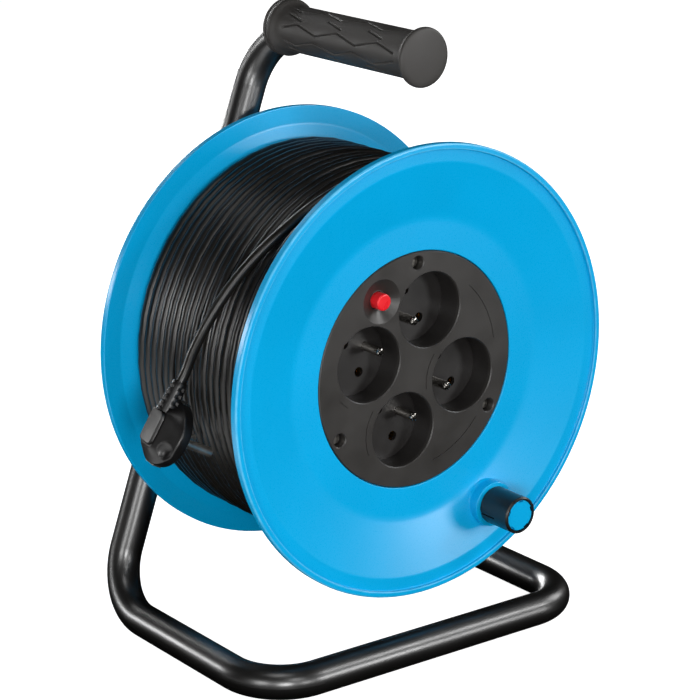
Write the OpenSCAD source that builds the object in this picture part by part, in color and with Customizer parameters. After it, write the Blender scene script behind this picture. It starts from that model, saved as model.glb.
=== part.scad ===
/* [Drum] */
// Outer diameter of both flanges
flange_d = 240; // [220:1:300]
// Width over the two rims
drum_w = 124; // [118:1:150]
// Wall of the flanges
flange_t = 2.6; // [2:0.1:3.2]
// Depth of the flat centre below the rim plane
dish = 9.3; // [7:0.1:11]
// Diameter of the flat centre
flat_d = 160; // [156:1:180]
// Width of the flat ring next to the rim
rim_w = 10; // [8:0.5:14]
// Depth of that ring below the rim plane
rim_drop = 1.8; // [1:0.1:2.5]
// Width of the bead that edges the rim
bead_w = 3.2; // [2:0.1:4]
// Rounding of the rim's outer edge
rim_round = 1.2; // [0.5:0.1:1.5]
// Outer diameter of the barrel that the cord is wound on
barrel_d = 152; // [150:1:155]
// Wall of the barrel
barrel_wall = 3; // [2.5:0.1:3.5]

/* [Socket insert] */
// Diameter of the face plate
plate_d = 125.6; // [120:0.1:130]
// Thickness of the face plate
plate_t = 2.5; // [2:0.1:3]
// Radius on which the four sockets lie
socket_pitch_r = 32; // [31.5:0.1:33]
// Angle of the first socket
socket_a = 75; // [60:1:90]
// Diameter of a socket recess
socket_d = 40; // [38.5:0.1:41]
// Depth of a socket recess
socket_depth = 15; // [14:0.1:17]
// Wall of a socket cup
cup_wall = 1.6; // [1.2:0.1:2]
// Distance between the two contact holes
contact_gap = 19; // [18:0.1:20]
// Diameter of a contact hole
contact_d = 5.2; // [5:0.1:6]
// Diameter of an earth pin
earth_d = 4.8; // [4.5:0.1:5]
// Distance of the earth pin from the middle of its socket
earth_off = 10; // [9.5:0.1:10.5]
// Height of the earth pin above the floor of its socket
earth_l = 14; // [12:0.5:14.5]
// Radius on which the face plate screws lie
screw_pitch_r = 57; // [56.5:0.1:58]

/* [Reset button] */
// Diameter of the button
button_d = 8.8; // [7:0.1:9.5]
// Travel of the button
button_travel = 3.5; // [2:0.1:4]
// Height of the released button above the face plate
button_proud = 2.3; // [1:0.1:3]
// Diameter of the conical recess
cone_d = 23.4; // [21:0.1:24]
// Depth of the conical recess
cone_depth = 3.5; // [3:0.1:6]
// Radius on which the button lies
button_pitch_r = 46.7; // [46:0.1:47.5]

/* [Crank] */
// Distance of the crank axis from the rim
crank_inset = 25; // [23:0.5:28]
// Angle of the crank at rest
crank_a = -59.5; // [-180:0.5:180]
// Diameter of the turning sleeve
knob_d = 20.2; // [18:0.1:22]
// Length of the turning sleeve
knob_l = 21.2; // [18:0.1:30]
// Diameter of the spindle that the sleeve turns on
spindle_d = 12; // [10:0.1:13]
// Diameter of the boss on the flange
boss_d = 24.6; // [23:0.1:28]

/* [Frame] */
// Outer diameter of the tube
tube_d = 18; // [16:0.1:22]
// Wall of the tube
tube_t = 1.5; // [1:0.1:2]
// Distance between the centre lines of the two side bars
base_w = 210; // [180:1:260]
// Free height between the rim and the base bars
rim_gap = 18; // [12:0.5:30]
// How far the front bar lies ahead of the front rim
front_gap = 4.5; // [0:0.5:20]
// Free distance between the rear rim and the leg
leg_gap = 8.5; // [6:0.5:20]
// Bend radius at the two front corners
base_bend = 30; // [24:1:45]
// Bend radius at the foot of the leg and of the stay
leg_bend = 32; // [26:1:45]
// Bend radius at the handle
handle_bend = 35; // [30:1:45]

/* [Grip] */
// Free height for the fingers between the rim and the grip
hand_gap = 30.3; // [28:0.1:60]
// Wall of the grip
grip_wall = 3.3; // [2:0.1:4]
// Length of the grip
grip_l = 118; // [100:1:125]
// Distance of the end cap behind the front rim
grip_front = 5.8; // [2:0.1:12]
// How far the end cap stands out from the grip
cap_lip = 3; // [2:0.1:5]

/* [Axle] */
// Diameter of the axle bolt
bolt_d = 8; // [6:0.5:10]
// Outer diameter of the steel sleeve
sleeve_d = 16; // [14:0.5:20]
// Length of the drum hub
hub_l = 40; // [34:1:44]

/* [Cord] */
// Diameter of the cord
cord_d = 5.6; // [5:0.1:6]
// Distance of the outer layer's centre line from the rim
cord_inset = 18.7; // [17:0.1:24]
// Distance between neighbouring turns
turn_pitch = 5.7; // [5.4:0.01:7]
// Angle at which the outer layer ends
wind_end_a = 58; // [40:1:70]

/* [Hidden] */
$fn = 96;

// Colours
blue = [0.0, 0.63, 0.89];
black = [0.06, 0.06, 0.06];
charcoal = [0.23, 0.22, 0.21];
steel = [0.72, 0.72, 0.74];
brass = [0.80, 0.66, 0.32];
red = [0.93, 0.12, 0.18];
white = [0.86, 0.85, 0.82];

// Clearances: a running fit, a slip fit, a gap between parts that only pass each other, a cutting margin
run_fit = 0.05;
slip_fit = 0.05;
part_gap = 0.3;
cut = 1;

// Rounded corners: the steps of an arc, and radii of sharp, soft and broad edges
arc_steps = 5;
edge_round = 0.5;
shoulder_round = 6;
flat_round = 20;
chamfer = 0.5;
join = 0.4;

// Drum
flange_r = flange_d / 2;
flat_r = flat_d / 2;
rim_in_r = flange_r - rim_w;
barrel_r = barrel_d / 2;
barrel_in_r = barrel_r - barrel_wall;
split_y = drum_w / 2;
spigot_l = 6;
spigot_t = 2.4;
spigot_r = barrel_in_r - 2 * slip_fit;

// Socket insert
plate_r = plate_d / 2;
plate_gap = 0.4;
seat_r = plate_r + plate_gap;
seat_t = 3.2;
seat_y = dish + plate_t;
ledge_w = 7.5;
ledge_r = seat_r - ledge_w;
floor_y = dish + socket_depth;
floor_t = 2.2;
carrier_y = floor_y + floor_t + part_gap;
carrier_t = 13;
carrier_r = 52;
cover_y = carrier_y + carrier_t;
cover_l = 16;
cover_wall = 2;
bar_t = 0.8;
bar_w = 6;
bar_step = 3.2;
live_y = cover_y + 1;
neutral_y = live_y + bar_step;
earth_y = neutral_y + bar_step;
contact_wall = 0.9;
socket_angles = [for (k = [0:3]) socket_a + 90 * k];
contact_a = 120;
earth_a = [210, 30, 30, 210];
plate_screw_angles = [90, -30, 210];
plate_screw_d = 3;
plate_screw_head_d = 6;
plate_screw_head_l = 2;
well_d = 7.2;
well_wall = 0.7;
well_floor_t = 1.5;
well_floor_y = dish + 6.5;
well_end_y = well_floor_y + well_floor_t;
well_out_d = well_d + 2 * well_wall;
plate_ear_d = 11;
plate_ear_end_y = carrier_y - part_gap;
plate_screw_end_y = plate_ear_end_y - 1.5;
bar_land = 4;

// Lines engraved in the face plate: their width, depth and radii, and the angles they run between
line_w = 0.4;
line_t = 0.4;
outer_line_r = 52.4;
outer_lines = [[9, 49], [-77, -39]];
lid_line_r = 24.2;
lid_lines = [[2, 144, 202], [3, 142, 188], [1, 222, 236]];
notch_d = 2;
notch_a = 140;
notch_sockets = [0, 1];

// Reset button
button_a = 120;
cone_floor_d = 10.6;
cone_floor_t = 1.6;
cone_wall = 1;
button_y = dish - button_proud;
button_cap_l = button_proud + cone_depth + cone_floor_t - part_gap;
button_stem_d = 5;
button_stem_l = 12;
cutout_d = 16;
cutout_l = 15;
cutout_end_t = 2;
cutout_y = dish + cone_depth + cone_floor_t + button_travel + part_gap;

// Crank
crank_r = flange_r - crank_inset;
boss_y = 1.2;
knob_y = boss_y - part_gap;
knob_end_y = knob_y - knob_l;
knob_rim_w = 1.8;
spindle_head_d = knob_d - 2 * knob_rim_w;
spindle_head_l = 3;
spindle_tail_d = 8;
spindle_tail_l = 5.2;
knob_rim_l = 0.6;
knob_chamfer = 0.8;
slit_w = 0.8;
slit_l = 11;
slit_a = 195;
notch_w = 3;
notch_t = 1;
head_notches = [15:72:303];
boss_r = boss_d / 2;
flare_round = 1;
flare_y = dish * 0.75;
flare_w = 1.2;

// Frame
tube_r = tube_d / 2;
base_drop = flange_r + rim_gap + tube_r;
grip_r = tube_r + grip_wall;
handle_h = flange_r + hand_gap + grip_r;
leg_y = drum_w + leg_gap + tube_r;
handle_end_y = grip_front + 6.5;
corner_y = base_bend - front_gap;
leg_l = norm([base_w / 2, handle_h + base_drop]);
leg_lean = atan2(base_w / 2, handle_h + base_drop);
stay_l = norm([base_w / 2, base_drop]);
stay_lean = atan2(base_w / 2, base_drop);
stay_over = handle_h / (cos(stay_lean) + sin(stay_lean) / tan(leg_lean));
weld_sink = 0.2;
grip_room = 1.8;
cap_l = 4;
cap_dome = 0.8;
cap_round = 1.4;
cap_neck = 1.6;
collar_lip = 2.9;
collar_l = 7;
collar_w = 1.8;
collar_groove = 0.6;

// Axle
saddle_d = 24;
saddle_t = 2;
saddle_gap = 2;
hub_rear_y = drum_w - dish;
hub_front_y = hub_rear_y - hub_l;
bush_wall = 3;
bush_l = 15;
bush_flange_t = 2;
bush_r = sleeve_d / 2 + bush_wall;
bush_flange_r = bush_r + 3;
hub_r = bush_r + 4;
washer_t = 1.6;
sleeve_front_y = hub_front_y - bush_flange_t - part_gap;
shoulder_y = hub_rear_y + bush_flange_t + part_gap;
shoulder_r = sleeve_d / 2 + 4;
saddle_front_y = leg_y - tube_r - saddle_t;
saddle_rear_y = leg_y + tube_r + saddle_t;
bolt_head_l = 5.3;
bolt_head_af = 13;
nut_l = 6.5;
bolt_proud = 1.9;
nut_y = saddle_rear_y + washer_t;
bolt_end_y = nut_y + nut_l + bolt_proud;
bolt_hole_d = bolt_d + 0.2;
hub_sink = 1;

// Screws that hold the drum halves together
drum_screw_r = 67.2;
drum_screw_angles = [45, 135, 225, 315];
drum_screw_d = 4;
drum_screw_head_d = 8;
drum_screw_head_l = 3;
drum_boss_d = 11;
rear_boss_d = 13;
drum_screw_room = 0.6;
drum_head_room = 1;
drum_seat_y = split_y + spigot_l + 13;
drum_screw_l = 30;
drum_screw_end_y = drum_seat_y - drum_screw_l;

// Place of the drum in the part: the axis runs along Y, the floor is at Z = 0
axle_z = base_drop + tube_r;
front_y = -(knob_end_y + bolt_end_y) / 2;

// Inner end of the cord
inlet_y = drum_w - 24;
inlet_bend = 14;
terminal = [30, 12, 14];
terminal_z = -32;
terminal_pitch = 8.6;
terminal_hole_r = 2;
grommet_wall = 1.8;
grommet_set = 0.5;

// Outer layer of the cord
cord_r = cord_d / 2;
layer_r = flange_r - cord_inset;
face_slope = (dish - rim_drop) / (rim_in_r - flat_r);
layer_face_y = rim_drop + flange_t + face_slope * (rim_in_r - layer_r);
wind_front_y = layer_face_y + cord_r + 1;
wind_rear_y = drum_w - wind_front_y;
wind_turns = (wind_rear_y - wind_front_y) / turn_pitch;
rings_per_turn = 24;
wind_sides = 6;
wind_rings = round(wind_turns * rings_per_turn);
core_gap = 0.5;
core_r = layer_r - cord_r - core_gap;
core_sink = 2;
ramp_a = 40;
ramp_r = cord_r * 0.7;

// Free end of the cord, from the drum axis at the front rim plane
tail_sides = 8;
tail_route = [
  [38.5, 10.5, 95.5], [24, 11, 103], [7.5, 12.5, 107], [-9.5, 15, 107], [-26, 18, 104],
  [-42, 21, 98.5], [-57, 24, 91], [-70.5, 28, 81], [-82, 33.5, 69.5], [-92, 39.5, 56],
  [-100, 43.5, 43.5], [-106.5, 46.5, 31.5], [-111.3, 49.5, 19.9]
];

// Plug, placed by the middle of its pin face
plug_at = [-121, 54.5, -23];
plug_turn = [5, 28, -5];
plug_head_d = 35;
plug_head_l = 8.5;
plug_l = 14;
plug_grip_w = 13;
plug_pin_d = 4.8;
plug_pin_l = 19;
clip_w = 8;
clip_l = 5;
clip_t = 0.8;
plug_back_h = 15;
plug_back_slope = 6;
plug_back_round = 2;
relief_l = 17;
relief_sink = 4;
relief_r = 5;
relief_wall = 1;
relief_at = [-9.6, 0, 9.5];

// Shapes that repeat

function polar(r, a, y = 0) = [r * cos(a), y, r * sin(a)];
function unit(v) = v / norm(v);

// A corner b of an outline, between its neighbours a and c, turned into an arc
function corner_arc(a, b, c, r) =
  let (
    u = unit([a.x - b.x, a.y - b.y]),
    v = unit([c.x - b.x, c.y - b.y]),
    half = acos(u * v) / 2,
    centre = [b.x, b.y] + unit(u + v) * r / sin(half),
    first = [b.x, b.y] + u * r / tan(half) - centre,
    last = [b.x, b.y] + v * r / tan(half) - centre,
    turn = atan2(first.x * last.y - first.y * last.x, first * last)
  )
  [for (i = [0:arc_steps])
    let (t = turn * i / arc_steps)
    centre + [first.x * cos(t) - first.y * sin(t), first.x * sin(t) + first.y * cos(t)]];

// An outline whose points may have a third number, the radius of that corner
function rounded(p) = let (n = len(p)) [
  for (i = [0:n - 1])
    each len(p[i]) > 2 ? corner_arc(p[(i + n - 1) % n], p[i], p[(i + 1) % n], p[i][2]) : [p[i]]
];

// The drum's own frame: Y from the front rim plane, Z from the axis
module at_axle() translate([0, front_y, axle_z]) children();

// A solid or hollow bar between two points
module bar(a, b, r, r_in = 0) {
  d = b - a;
  l = norm(d);
  translate(a) rotate([0, acos(d.z / l), atan2(d.y, d.x)]) difference() {
    cylinder(h = l, r = r);
    if (r_in > 0) translate([0, 0, -cut]) cylinder(h = l + 2 * cut, r = r_in);
  }
}

// A round bar along Y, at a point of the XZ plane
module pin(p, y0, y1, d, d_in = 0) bar([p.x, y0, p.z], [p.x, y1, p.z], d / 2, d_in / 2);

// A body turned about the Y axis from points of radius and Y
module lathe(points) rotate([-90, 0, 0]) rotate_extrude() polygon(points);

// A hexagon bar along Y
module hex_bar(y0, y1, across_flats)
  translate([0, y0, 0]) rotate([-90, 0, 0]) cylinder(h = y1 - y0, d = across_flats / cos(30), $fn = 6);

// A tube bend from direction u to direction w around a corner
module bend(corner, u, w, radius, r, r_in = 0) {
  turn = acos(u * w);
  inward = unit(w - u * (u * w));
  axis = cross(u, inward);
  centre = corner - u * radius * tan(turn / 2) + inward * radius;
  frame = [for (k = [0:2]) [-inward[k], u[k], axis[k], centre[k]]];
  multmatrix(concat(frame, [[0, 0, 0, 1]]))
    rotate_extrude(angle = turn) translate([radius, 0]) difference() {
      circle(r);
      if (r_in > 0) circle(r_in);
    }
}

// Rings of a tube that follows a path round the drum axis
function ring_points(path, r, sides) = [
  for (i = [0:len(path) - 1])
    let (
      ahead = unit(path[min(i + 1, len(path) - 1)] - path[max(i - 1, 0)]),
      side = unit(cross(ahead, [path[i].x, 0, path[i].z])),
      out = cross(side, ahead)
    )
    for (j = [0:sides - 1]) path[i] + r * (out * cos(360 * j / sides) + side * sin(360 * j / sides))
];

function ring_faces(rings, sides) = concat(
  [for (i = [0:rings - 2]) for (j = [0:sides - 1])
    let (a = i * sides + j, b = i * sides + (j + 1) % sides)
    each [[a, b, a + sides], [b, b + sides, a + sides]]],
  [for (j = [1:sides - 2]) [0, j + 1, j]],
  [for (j = [1:sides - 2]) let (e = (rings - 1) * sides) [e, e + j, e + j + 1]]
);

module swept_tube(path, r, sides)
  polyhedron(points = ring_points(path, r, sides), faces = ring_faces(len(path), sides));

// Frame

leg_dir = [-sin(leg_lean), 0, -cos(leg_lean)];
stay_dir = [-sin(stay_lean), 0, cos(stay_lean)];

// Straight runs and right-angled bends of one radius, through the given corners
module chain(corners, bends, r) {
  last = len(corners) - 1;
  for (i = [0:last - 1]) {
    ahead = unit(corners[i + 1] - corners[i]);
    a = corners[i] + ahead * bends[i];
    b = corners[i + 1] - ahead * bends[i + 1];
    if (norm(b - a) > part_gap) bar(a, b, r);
  }
  for (i = [1:last - 1])
    bend(corners[i], unit(corners[i] - corners[i - 1]), unit(corners[i + 1] - corners[i]), bends[i], r);
}

module bent_tube(corners, bends) difference() {
  chain(corners, bends, tube_r);
  chain(corners, bends, tube_r - tube_t);
}

// Handle, leg and left base bar, which lie in one leaning plane
module leg_tube() color(black) at_axle() translate([0, 0, handle_h]) rotate([0, leg_lean, 0]) bent_tube(
  [[0, handle_end_y, 0], [0, leg_y, 0], [0, leg_y, -leg_l], [0, corner_y, -leg_l]],
  [0, handle_bend, leg_bend, 0]
);

// Front base bar with its two corners
module base_tube() color(black) at_axle() translate([0, 0, -base_drop]) bent_tube(
  [
    [-base_w / 2, corner_y, 0], [-base_w / 2, -front_gap, 0],
    [base_w / 2, -front_gap, 0], [base_w / 2, corner_y, 0]
  ],
  [0, base_bend, base_bend, 0]
);

// Right base bar and the stay, which carries the axle and ends on the leg
module stay_tube() color(black) at_axle() difference() {
  rotate([0, -stay_lean, 0]) bent_tube(
    [[0, corner_y, -stay_l], [0, leg_y, -stay_l], [0, leg_y, stay_over]],
    [0, leg_bend, 0]
  );
  bar([0, leg_y, handle_h], [0, leg_y, handle_h] + leg_dir * leg_l, tube_r - weld_sink);
  pin([0, 0, 0], leg_y - tube_d, leg_y + tube_d, bolt_hole_d);
}

module handle_grip() color(charcoal) at_axle() {
  cap_r = grip_r + cap_lip;
  collar_r = grip_r + collar_lip;
  groove_r = grip_r + collar_lip / 2;
  rear = grip_front + grip_l;
  bend_y = leg_y - handle_bend;
  bend_drop = handle_bend - sqrt(handle_bend ^ 2 - max(rear - bend_y, 0) ^ 2);
  bore_a = [0, bend_y - cut, handle_h];
  bore_b = [0, rear, handle_h] + leg_dir * bend_drop;
  difference() {
    translate([0, 0, handle_h]) lathe(rounded([
      [0, grip_front], [cap_r, grip_front + cap_dome, cap_round], [cap_r, grip_front + cap_l, cap_round],
      [grip_r, grip_front + cap_l + cap_neck, edge_round], [grip_r, rear - collar_l, edge_round],
      [collar_r, rear - collar_l + cap_neck, edge_round],
      [collar_r, rear - collar_w - collar_groove, edge_round],
      [groove_r, rear - collar_w - collar_groove], [groove_r, rear - collar_w],
      [collar_r, rear - collar_w, edge_round], [collar_r, rear, edge_round], [0, rear]
    ]));
    bar([0, handle_end_y, handle_h], [0, rear + cut, handle_h], tube_r + slip_fit);
    bar(bore_a, bore_b + unit(bore_b - bore_a) * tube_r, tube_r + grip_room);
  }
}

// Axle

module axle_sleeve() color(steel) at_axle() lathe([
  [bolt_hole_d / 2, sleeve_front_y], [sleeve_d / 2, sleeve_front_y], [sleeve_d / 2, shoulder_y],
  [shoulder_r, shoulder_y], [shoulder_r, saddle_front_y], [bolt_hole_d / 2, saddle_front_y]
]);

module axle_bolt() color(steel) at_axle() {
  head_y = sleeve_front_y - washer_t;
  hex_bar(head_y - bolt_head_l, head_y, bolt_head_af);
  pin([0, 0, 0], head_y, bolt_end_y, bolt_d);
}

module axle_washers() color(steel) at_axle() {
  for (y = [sleeve_front_y - washer_t, saddle_rear_y])
    pin([0, 0, 0], y, y + washer_t, saddle_d, bolt_hole_d);
}

module axle_saddles() color(steel) at_axle() difference() {
  for (span = [[saddle_front_y, leg_y - saddle_gap], [leg_y + saddle_gap, saddle_rear_y]])
    pin([0, 0, 0], span[0], span[1], saddle_d, bolt_hole_d);
  bar([0, leg_y, 0] - stay_dir * saddle_d, [0, leg_y, 0] + stay_dir * saddle_d, tube_r + slip_fit);
}

module axle_nut() color(steel) at_axle() difference() {
  hex_bar(nut_y, nut_y + nut_l, bolt_head_af);
  pin([0, 0, 0], nut_y - cut, nut_y + nut_l + cut, bolt_d + 2 * slip_fit);
}

// Drum

// Outline of a flange wall from the flat centre to the rim, as radius and depth
flange_outer = [
  [flat_r, dish, flat_round], [rim_in_r, rim_drop, shoulder_round], [flange_r - bead_w, rim_drop, edge_round],
  [flange_r - bead_w, 0, edge_round], [flange_r, 0, rim_round], [flange_r, rim_drop + flange_t, edge_round]
];
flange_inner = [
  [rim_in_r, rim_drop + flange_t, shoulder_round], [flat_r, dish + flange_t], [barrel_r, dish + flange_t]
];
function mirrored(points) = [for (p = points) len(p) > 2 ? [p.x, drum_w - p.y, p[2]] : [p.x, drum_w - p.y]];

// Boss of the crank, flared where it meets the flange
module crank_boss() intersection() {
  translate(polar(crank_r, crank_a)) lathe(rounded([
    [0, boss_y], [boss_r, boss_y, edge_round], [boss_r, flare_y, flare_round],
    [boss_r + flare_w, dish + flange_t / 4], [0, dish + flange_t / 4]
  ]));
  lathe([
    [barrel_r, 0], [flange_r, 0], [flange_r, rim_drop + flange_t / 2], [rim_in_r, rim_drop + flange_t / 2],
    [flat_r, dish + flange_t / 2], [barrel_r, dish + flange_t / 2]
  ]);
}

module front_drum_half() color(blue) at_axle() difference() {
  union() {
    lathe(rounded(concat(
      [[ledge_r, seat_y], [seat_r, seat_y], [seat_r, dish, edge_round]], flange_outer, flange_inner,
      [[barrel_r, split_y], [spigot_r, split_y], [spigot_r, split_y + spigot_l],
        [spigot_r - spigot_t, split_y + spigot_l], [spigot_r - spigot_t, split_y - spigot_l],
        [barrel_in_r, split_y - 2 * spigot_l], [barrel_in_r, seat_y + seat_t], [ledge_r, seat_y + seat_t]]
    )));
    crank_boss();
    for (a = plate_screw_angles) pin(polar(screw_pitch_r, a), seat_y + join, plate_ear_end_y, plate_ear_d);
    for (a = drum_screw_angles)
      pin(polar(drum_screw_r, a), drum_screw_end_y - 2 * cut, split_y + spigot_l - join, drum_boss_d);
  }
  translate(polar(crank_r, crank_a))
    pin([0, 0, 0], boss_y - cut, boss_y + spindle_tail_l + part_gap, spindle_tail_d + 2 * slip_fit);
  for (a = plate_screw_angles) {
    pin(polar(screw_pitch_r, a), seat_y - cut, well_end_y + slip_fit, well_out_d + 2 * slip_fit);
    pin(polar(screw_pitch_r, a), seat_y, plate_screw_end_y + part_gap, plate_screw_d + 2 * slip_fit);
  }
  translate(polar(button_pitch_r, button_a))
    pin([0, 0, 0], seat_y - cut, seat_y + seat_t + cut, cone_d + 2 * (cone_wall + part_gap));
  for (a = drum_screw_angles)
    pin(polar(drum_screw_r, a), drum_screw_end_y - cut, split_y + 2 * spigot_l, drum_screw_d + 2 * slip_fit);
}

module rear_drum_half() color(blue) at_axle() difference() {
  union() {
    lathe(rounded(concat(
      [[0, drum_w - dish]], mirrored(flange_outer), mirrored(flange_inner),
      [[barrel_r, split_y + slip_fit], [barrel_in_r, split_y + slip_fit],
        [barrel_in_r, drum_w - dish - flange_t], [0, drum_w - dish - flange_t]]
    )));
    pin([0, 0, 0], hub_front_y, hub_rear_y - hub_sink, 2 * hub_r);
    for (a = drum_screw_angles)
      pin(polar(drum_screw_r, a), split_y + spigot_l + part_gap, hub_rear_y - hub_sink, rear_boss_d);
  }
  pin([0, 0, 0], hub_front_y - cut, hub_rear_y + cut, 2 * bush_r + 2 * slip_fit);
  for (a = drum_screw_angles) {
    pin(polar(drum_screw_r, a), drum_seat_y, hub_rear_y + cut, drum_screw_head_d + drum_head_room);
    pin(polar(drum_screw_r, a), split_y, drum_seat_y + cut, drum_screw_d + drum_screw_room);
  }
  bar([0, inlet_y, -barrel_r - cut], [0, inlet_y, -barrel_in_r + cut], cord_r + grommet_wall + slip_fit);
}

module drum_screws() color(steel) at_axle() for (a = drum_screw_angles) {
  pin(polar(drum_screw_r, a), drum_seat_y, drum_seat_y + drum_screw_head_l, drum_screw_head_d);
  pin(polar(drum_screw_r, a), drum_screw_end_y, drum_seat_y, drum_screw_d);
}

module hub_bushes() color(white) at_axle() {
  bore_r = sleeve_d / 2 + run_fit;
  lathe([
    [bore_r, hub_front_y - bush_flange_t], [bush_flange_r, hub_front_y - bush_flange_t],
    [bush_flange_r, hub_front_y], [bush_r, hub_front_y], [bush_r, hub_front_y + bush_l],
    [bore_r, hub_front_y + bush_l]
  ]);
  lathe([
    [bore_r, hub_rear_y - bush_l], [bush_r, hub_rear_y - bush_l], [bush_r, hub_rear_y],
    [bush_flange_r, hub_rear_y], [bush_flange_r, hub_rear_y + bush_flange_t],
    [bore_r, hub_rear_y + bush_flange_t]
  ]);
}

// Crank

// Spindle with notches in the edge of its head
module knob_spindle() color(blue) at_axle() translate(polar(crank_r, crank_a)) difference() {
  head_r = spindle_head_d / 2;
  head_y = knob_end_y + knob_rim_l;
  lathe(rounded([
    [0, head_y], [head_r, head_y, edge_round], [head_r, head_y + spindle_head_l],
    [spindle_d / 2, head_y + spindle_head_l], [spindle_d / 2, boss_y], [spindle_tail_d / 2, boss_y],
    [spindle_tail_d / 2, boss_y + spindle_tail_l], [0, boss_y + spindle_tail_l]
  ]));
  for (a = head_notches) rotate([0, -a, 0]) translate([head_r - notch_t, head_y - cut, -notch_w / 2])
    cube([notch_t + cut, spindle_head_l / 2 + cut, notch_w]);
}

// Turning sleeve with a short slit at its foot
module crank_knob() color(black) at_axle() translate(polar(crank_r, crank_a)) difference() {
  bore_r = spindle_head_d / 2 + part_gap;
  step_y = knob_end_y + knob_rim_l + spindle_head_l + part_gap;
  lathe(rounded([
    [bore_r, knob_end_y], [knob_d / 2 - knob_chamfer, knob_end_y],
    [knob_d / 2, knob_end_y + knob_chamfer, edge_round],
    [knob_d / 2, knob_y, edge_round], [spindle_d / 2 + run_fit, knob_y], [spindle_d / 2 + run_fit, step_y],
    [bore_r, step_y]
  ]));
  rotate([0, -slit_a, 0]) translate([knob_d / 2 - slit_w, knob_y - slit_l, -slit_w / 2])
    cube([slit_w + cut, slit_l + cut, slit_w]);
}

// Socket insert

// A round cut through the face plate with a chamfered edge
module plate_hole(p, d) translate(p) lathe([
  [0, dish - cut], [d / 2 + chamfer, dish - cut], [d / 2 + chamfer, dish], [d / 2, dish + chamfer],
  [d / 2, seat_y + cut], [0, seat_y + cut]
]);

// An arc engraved in the face plate
module plate_line(centre, r, from, to)
  translate([centre.x, dish + line_t, centre.z]) rotate([90, 0, 0]) rotate([0, 0, from])
    rotate_extrude(angle = to - from) translate([r, 0]) square([line_w, line_t + cut]);

module face_plate() color(charcoal) at_axle() {
  cone_bottom_y = dish + cone_depth;
  at_button = polar(button_pitch_r, button_a);
  difference() {
    union() {
      lathe([
        [0, dish], [plate_r - chamfer, dish], [plate_r, dish + chamfer], [plate_r, seat_y], [0, seat_y]
      ]);
      for (a = plate_screw_angles) pin(polar(screw_pitch_r, a), seat_y - join, well_end_y, well_out_d);
      difference() {
        translate(at_button) lathe([
          [0, seat_y - join], [cone_d / 2 + cone_wall, seat_y - join],
          [cone_floor_d / 2 + cone_wall, cone_bottom_y + cone_floor_t], [0, cone_bottom_y + cone_floor_t]
        ]);
        for (a = socket_angles)
          pin(polar(socket_pitch_r, a), seat_y, floor_y, socket_d + 2 * (cup_wall + part_gap));
      }
    }
    translate(at_button) lathe([
      [0, dish - cut], [cone_d / 2, dish - cut], [cone_d / 2, dish], [cone_floor_d / 2, cone_bottom_y],
      [0, cone_bottom_y]
    ]);
    pin(at_button, dish, cone_bottom_y + 2 * cone_floor_t, button_d + 2 * part_gap);
    for (a = socket_angles) plate_hole(polar(socket_pitch_r, a), socket_d);
    for (k = notch_sockets)
      pin(socket_at(k) + polar(socket_d / 2, notch_a), dish - cut, seat_y + cut, notch_d);
    for (a = plate_screw_angles) {
      plate_hole(polar(screw_pitch_r, a), well_d);
      pin(polar(screw_pitch_r, a), seat_y, well_floor_y, well_d);
      pin(polar(screw_pitch_r, a), seat_y, well_end_y + cut, plate_screw_d + 2 * part_gap);
    }
    for (span = outer_lines) plate_line([0, 0, 0], outer_line_r, span[0], span[1]);
    for (span = lid_lines) plate_line(socket_at(span[0]), lid_line_r, span[1], span[2]);
  }
}

module plate_screws() color(steel) at_axle() for (a = plate_screw_angles) translate(polar(screw_pitch_r, a)) {
  pin([0, 0, 0], well_floor_y - plate_screw_head_l, well_floor_y, plate_screw_head_d);
  pin([0, 0, 0], well_floor_y, plate_screw_end_y, plate_screw_d);
}

// The eight contact holes and four earth pins, from the socket number
function socket_at(k) = polar(socket_pitch_r, socket_angles[k]);
function contact_at(k, side) = socket_at(k) + polar(contact_gap / 2, contact_a + side);
function earth_at(k) = socket_at(k) + polar(earth_off, earth_a[k]);

module socket_cup(k) color(charcoal) at_axle() difference() {
  pin(socket_at(k), seat_y, floor_y + floor_t, socket_d + 2 * cup_wall);
  pin(socket_at(k), seat_y - cut, floor_y, socket_d);
  for (side = [0, 180]) pin(contact_at(k, side), seat_y, carrier_y + cut, contact_d);
  pin(earth_at(k), seat_y, carrier_y + cut, earth_d + 2 * slip_fit);
}

module earth_pins() color(steel) at_axle() for (k = [0:3]) translate(earth_at(k)) lathe(rounded([
  [0, floor_y - earth_l], [earth_d / 2, floor_y - earth_l, earth_d / 3], [earth_d / 2, earth_y + bar_t],
  [0, earth_y + bar_t]
]));

sleeve_out_d = contact_d + 2 * contact_wall;

module contact_sleeves() color(brass) at_axle() for (k = [0:3]) {
  pin(contact_at(k, 0), carrier_y, live_y + bar_t, sleeve_out_d, contact_d);
  pin(contact_at(k, 180), carrier_y, neutral_y + bar_t, sleeve_out_d, contact_d);
}

module contact_carrier() color(white) at_axle() difference() {
  pin([0, 0, 0], carrier_y, cover_y - part_gap, 2 * carrier_r);
  for (k = [0:3]) {
    for (side = [0, 180])
      pin(contact_at(k, side), carrier_y - cut, cover_y + cut, sleeve_out_d + 2 * slip_fit);
    pin(earth_at(k), carrier_y - cut, cover_y + cut, earth_d + 2 * slip_fit);
  }
  pin(polar(button_pitch_r, button_a), carrier_y - cut, cover_y + cut, cutout_d + 2 * part_gap);
}

// A flat strip from point a to point b
module strip(a, b, y) {
  d = b - a;
  translate([a.x, y, a.z]) rotate([0, -atan2(d.z, d.x), 0]) translate([0, 0, -bar_w / 2])
    cube([norm(d), bar_t, bar_w]);
}

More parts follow.
